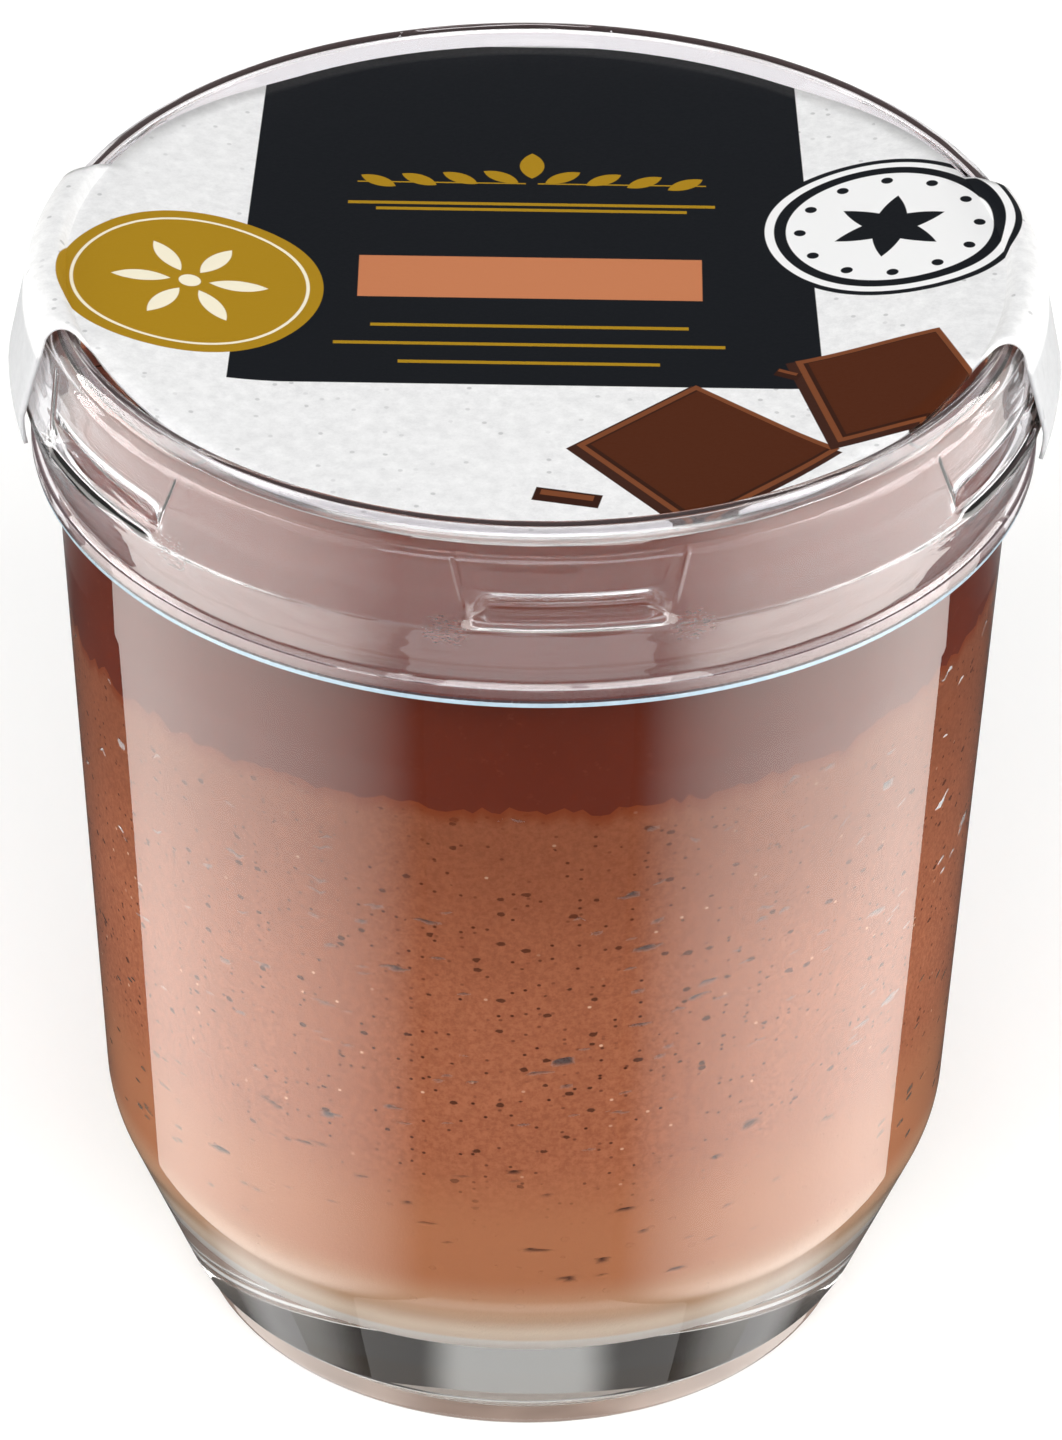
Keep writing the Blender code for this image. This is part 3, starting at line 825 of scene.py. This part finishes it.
def wing_path():
    """Top face of a wing as radius-height points: over the bead and down the skirt."""
    clearance = PAPER_GAP + PAPER
    over_bead = arc((CREST_RADIUS, CREST_HEIGHT - BEAD_ROUND), BEAD_ROUND + clearance, 120, 90, 4)
    shoulder_centre = (CREST_RADIUS, CREST_HEIGHT - SHOULDER_ROUND)
    over_bead += arc(shoulder_centre, SHOULDER_ROUND + clearance, 90, SHOULDER_END, 12)[1:]
    down_skirt = []
    for height in np.linspace(SKIRT_TOP_HEIGHT - SHOULDER_ROUND / 2, SKIRT_WIDE_HEIGHT, 8):
        radius, z = skirt_point(height)
        down_skirt.append((radius + clearance, z))
    wide_radius = SKIRT_WIDE_RADIUS + clearance
    drop = WING_BOTTOM - SKIRT_WIDE_HEIGHT
    tuck = [(wide_radius - WING_TUCK * share ** 2, SKIRT_WIDE_HEIGHT + drop * share)
            for share in (0.35, 0.7, 1.0)]
    return over_bead + down_skirt + tuck


def wing_half_angle(radius, height):
    """Half the wing's width: wider where it leaves the disc in a curve, narrower at its end."""
    past_root = max(radius - LABEL_RADIUS, 0.0) / WING_ROOT_CURVE
    down = max(LABEL_HEIGHT - height, 0.0) / (LABEL_HEIGHT - WING_BOTTOM)
    taper = (WING_END_HALF_ANGLE - WING_HALF_ANGLE) * down
    return WING_HALF_ANGLE + WING_ROOT_SPREAD * math.exp(-past_root) + taper


def label_height(x):
    """Height of the disc: it bends up along straight lines towards its wings, as a card does."""
    risen_reach = LABEL_RADIUS * math.cos(WING_HALF_ANGLE + WING_ROOT_SPREAD)
    share = (abs(x) - LABEL_FLAT_REACH) / (risen_reach - LABEL_FLAT_REACH)
    return LABEL_HEIGHT + WING_ROOT_RISE * float(smooth(share))


def make_label():
    """Sheet of the disc and both wings, thickened downwards."""
    wing_columns = 30
    side_columns = 110
    root_angle = WING_HALF_ANGLE + WING_ROOT_SPREAD
    angles = []
    for side in (0.0, math.pi):
        angles += [side - root_angle + 2 * root_angle * i / wing_columns for i in range(wing_columns)]
        open_arc = math.pi - 2 * root_angle
        angles += [side + root_angle + open_arc * i / side_columns for i in range(side_columns)]
    count = len(angles)
    radii = list(np.linspace(0.0, LABEL_RADIUS, 24)[1:])
    verts = [(0.0, 0.0, LABEL_HEIGHT)]
    faces = []
    for radius in radii:
        for angle in angles:
            x = radius * math.cos(angle)
            verts.append((x, radius * math.sin(angle), label_height(x)))
    for i in range(count):
        k = (i + 1) % count
        faces.append((0, 1 + i, 1 + k))
        for ring in range(len(radii) - 1):
            low, high = 1 + ring * count, 1 + (ring + 1) * count
            faces.append((low + i, high + i, high + k, low + k))
    last_ring = 1 + (len(radii) - 1) * count
    for side in range(2):
        first = side * (wing_columns + side_columns)
        edge = [last_ring + (first + i) % count for i in range(wing_columns + 1)]
        for radius, height in wing_path():
            half_angle = wing_half_angle(radius, height)
            row = []
            for i in range(wing_columns + 1):
                angle = side * math.pi + half_angle * (2 * i / wing_columns - 1)
                row.append(len(verts))
                verts.append((radius * math.cos(angle), radius * math.sin(angle), height))
            for i in range(wing_columns):
                faces.append((edge[i], row[i], row[i + 1], edge[i + 1]))
            edge = row
    label = mesh_object("label_sheet", verts, faces)
    thicken = label.modifiers.new("paper", "SOLIDIFY")
    thicken.thickness = PAPER
    thicken.offset = -1.0
    thicken.material_offset = 1
    dress(label, label_finish(), "paper_label")
    label.data.materials.append(underside_finish())


# Stage


def make_floor():
    reach = 4.0
    verts = [(-reach, -reach, 0.0), (reach, -reach, 0.0), (reach, reach, 0.0), (-reach, reach, 0.0)]
    floor = mesh_object("floor", verts, [(0, 1, 2, 3)])
    floor.data.materials.append(floor_finish())
    floor.visible_glossy = False
    make_foot_shade()


def hide_from(piece, *rays):
    """Leave a stage piece out of the named kinds of rays."""
    for ray in rays:
        setattr(piece, "visible_" + ray, False)


def foot_shade_finish():
    finish = Finish("foot_shade")
    streaks = finish.noise(finish.place, 8 * MM, 2.0)
    colour = finish.blend(streaks, (0.16, 0.11, 0.09, 1.0), (0.62, 0.46, 0.38, 1.0))
    finish.set(Base_Color=BLACK, Emission_Color=colour, Emission_Strength=1.0, Specular_IOR_Level=0.0)
    finish.material.cycles.emission_sampling = "NONE"
    return finish.material


def dark_card_finish():
    finish = Finish("dark_card")
    grain = finish.noise(finish.place, 20 * MM, 2.0)
    colour = finish.blend(grain, (0.06, 0.045, 0.035, 1.0), (0.12, 0.09, 0.07, 1.0))
    finish.set(Base_Color=colour, Roughness=0.8)
    return finish.material


def make_foot_shade():
    """Brown shade under the foot and a dark card round it, which only show through the glass."""
    places = (("foot_shade", 0.0, FOOT_SHADE_RADIUS, foot_shade_finish()),
              ("dark_card", FOOT_SHADE_RADIUS, DARK_CARD_RADIUS, dark_card_finish()))
    for name, inner, outer, material in places:
        shade = lathe(name, [(inner, SHADE_LIFT), (outer, SHADE_LIFT)], 64)
        shade.data.materials.append(material)
        hide_from(shade, "camera", "diffuse", "glossy", "shadow")


def glow_finish(finish, strength):
    finish.set(Base_Color=BLACK, Emission_Color=WARM_WHITE, Emission_Strength=strength,
               Specular_IOR_Level=0.0)
    return finish.material


def make_side_lights():
    """Tall soft panels beside the glass: each ends sharply behind and fades out to the front and below."""
    distance = 0.55
    front, back = -1.15, 0.34
    low, high = -1.5, 0.25
    for name, x, radiance in (("side_light_left", -distance, 3.7), ("side_light_right", distance, 4.2)):
        corners = [(x, front, low), (x, back, low), (x, back, high), (x, front, high)]
        panel = mesh_object(name, corners, [(0, 1, 2, 3)])
        finish = Finish(name)
        _, along, height = finish.split(finish.place)
        strength = finish.times(finish.ramp(along, front, -0.1), finish.ramp(height, low, -0.8))
        strength = finish.times(strength, finish.ramp(along, 0.75, 0.0))
        panel.data.materials.append(glow_finish(finish, finish.times(strength, radiance)))
        hide_from(panel, "camera", "transmission")


def make_content_lights():
    """Soft panels at the sides, a little behind, that only light what shines through glass."""
    distance = 0.5
    front, back = -0.7, 0.25
    low, high = 0.1, 1.3
    front_glow, back_gain = 2.3, 8.0
    for name, side in (("content_light_left", -1), ("content_light_right", 1)):
        x = side * distance
        corners = [(x, front, low), (x, back, low), (x, back, high), (x, front, high)]
        panel = mesh_object(name, corners, [(0, 1, 2, 3)])
        finish = Finish(name)
        _, along, height = finish.split(finish.place)
        strength = finish.plus(front_glow, finish.times(finish.ramp(along, -0.15, 0.05), back_gain))
        strength = finish.times(strength, finish.ramp(height, 1.4, 0.8))
        panel.data.materials.append(glow_finish(finish, strength))
        hide_from(panel, "camera", "diffuse", "glossy", "shadow")


def make_front_card():
    """Large white card above in front, only for the gloss on the lid."""
    lean = Matrix.Rotation(math.radians(61), 4, "X") @ Matrix.Translation((0.0, 0.0, 1.2))
    half_width, half_height = 1.3, 0.52
    signs = ((-1, -1), (1, -1), (1, 1), (-1, 1))
    corners = [lean @ Vector((x * half_width, y * half_height, 0.0)) for x, y in signs]
    card = mesh_object("front_card", corners, [(0, 1, 2, 3)])
    finish = Finish("front_card")
    across = finish.unsigned(finish.split(finish.place)[0])
    strength = finish.times(finish.ramp(across, half_width, 0.5), 6.0)
    card.data.materials.append(glow_finish(finish, strength))
    hide_from(card, "camera", "diffuse", "transmission", "shadow")


def make_backdrop():
    """Pale wall far behind the floor, all round, with a grey card in the middle of two dark ones."""
    wall = lathe("backdrop", [(3.0, -0.5), (3.0, 4.0)], 96)
    finish = Finish("backdrop_paper")
    x, y, z = finish.split(finish.place)
    across = finish.unsigned(x)
    high = finish.times(finish.ramp(z, 1.7, 1.9), finish.ramp(z, 2.9, 2.7))
    grey = finish.times(finish.times(high, finish.ramp(across, 2.95, 2.8)), finish.ramp(y, 0.0, 0.5))
    dark = finish.times(grey, finish.ramp(across, 0.4, 0.75))
    loss = finish.plus(finish.times(grey, 0.46), finish.times(dark, 0.42))
    wall.data.materials.append(glow_finish(finish, finish.minus(0.9, loss)))
    wall.data.materials[0].cycles.emission_sampling = "NONE"
    hide_from(wall, "diffuse", "glossy", "shadow")


def make_lights():
    make_side_lights()
    make_content_lights()
    make_front_card()
    key = bpy.data.lights.new("front_softbox", "AREA")
    key.shape = "RECTANGLE"
    key.size = 1.7
    key.size_y = 0.6
    key.energy = 16.8
    lamp = bpy.data.objects.new("front_softbox", key)
    lamp.matrix_world = (Matrix.Rotation(math.radians(45), 4, "X") @ Matrix.Translation((0.0, 0.0, 1.25)))
    lamp.visible_camera = False
    bpy.context.scene.collection.objects.link(lamp)
    make_world()


def make_world():
    """Room by elevation: pale table straight below, a dark band, a pale band at the horizon, dim above."""
    world = bpy.data.worlds.new("studio")
    world.use_nodes = True
    tree = world.node_tree
    direction = tree.nodes.new("ShaderNodeTexCoord").outputs["Generated"]
    split = tree.nodes.new("ShaderNodeSeparateXYZ")
    tree.links.new(direction, split.inputs[0])
    share = tree.nodes.new("ShaderNodeMapRange")
    share.inputs["From Min"].default_value = -1.0
    tree.links.new(split.outputs["Z"], share.inputs["Value"])
    bands = tree.nodes.new("ShaderNodeValToRGB")
    stops = ((0.0, 0.4), (0.03, 0.4), (0.05, 1.0), (0.08, 1.0), (0.11, 0.05), (0.22, 0.05), (0.25, 0.6),
             (0.38, 0.6), (0.43, 0.2), (0.54, 0.3), (1.0, 0.3))
    ramp = bands.color_ramp
    for place, level in stops[1:-1]:
        ramp.elements.new(place).color = (level, level, level, 1.0)
    for element, (place, level) in zip(ramp.elements, stops):
        element.position = place
        element.color = (level, level, level, 1.0)
    tree.links.new(share.outputs[0], bands.inputs[0])
    tree.links.new(bands.outputs[0], tree.nodes["Background"].inputs["Color"])
    front_dim = tree.nodes.new("ShaderNodeMapRange")
    front_dim.interpolation_type = "SMOOTHSTEP"
    for name, value in (("From Min", -0.97), ("From Max", -0.6), ("To Min", 0.15), ("To Max", 1.2)):
        front_dim.inputs[name].default_value = value
    tree.links.new(split.outputs["Y"], front_dim.inputs["Value"])
    overhead = tree.nodes.new("ShaderNodeMapRange")
    overhead.inputs["From Max"].default_value = 0.1
    tree.links.new(split.outputs["Z"], overhead.inputs["Value"])
    level = tree.nodes.new("ShaderNodeMath")
    level.operation = "MAXIMUM"
    tree.links.new(front_dim.outputs[0], level.inputs[0])
    tree.links.new(overhead.outputs[0], level.inputs[1])
    tree.links.new(level.outputs[0], tree.nodes["Background"].inputs["Strength"])
    bpy.context.scene.world = world


def make_camera():
    data = bpy.data.cameras.new("camera")
    data.lens = CAMERA_LENS
    camera = bpy.data.objects.new("camera", data)
    camera.matrix_world = (Matrix.Translation(CAMERA_PLACE) @ Matrix.Rotation(CAMERA_PITCH, 4, "X")
                           @ Matrix.Rotation(CAMERA_ROLL, 4, "Z"))
    bpy.context.scene.collection.objects.link(camera)
    bpy.context.scene.camera = camera


make_camera()
make_glass()
make_mousse()
make_sauce()
make_lid()
make_label()
make_floor()
make_backdrop()
make_lights()
bpy.context.scene.view_settings.view_transform = "Standard"
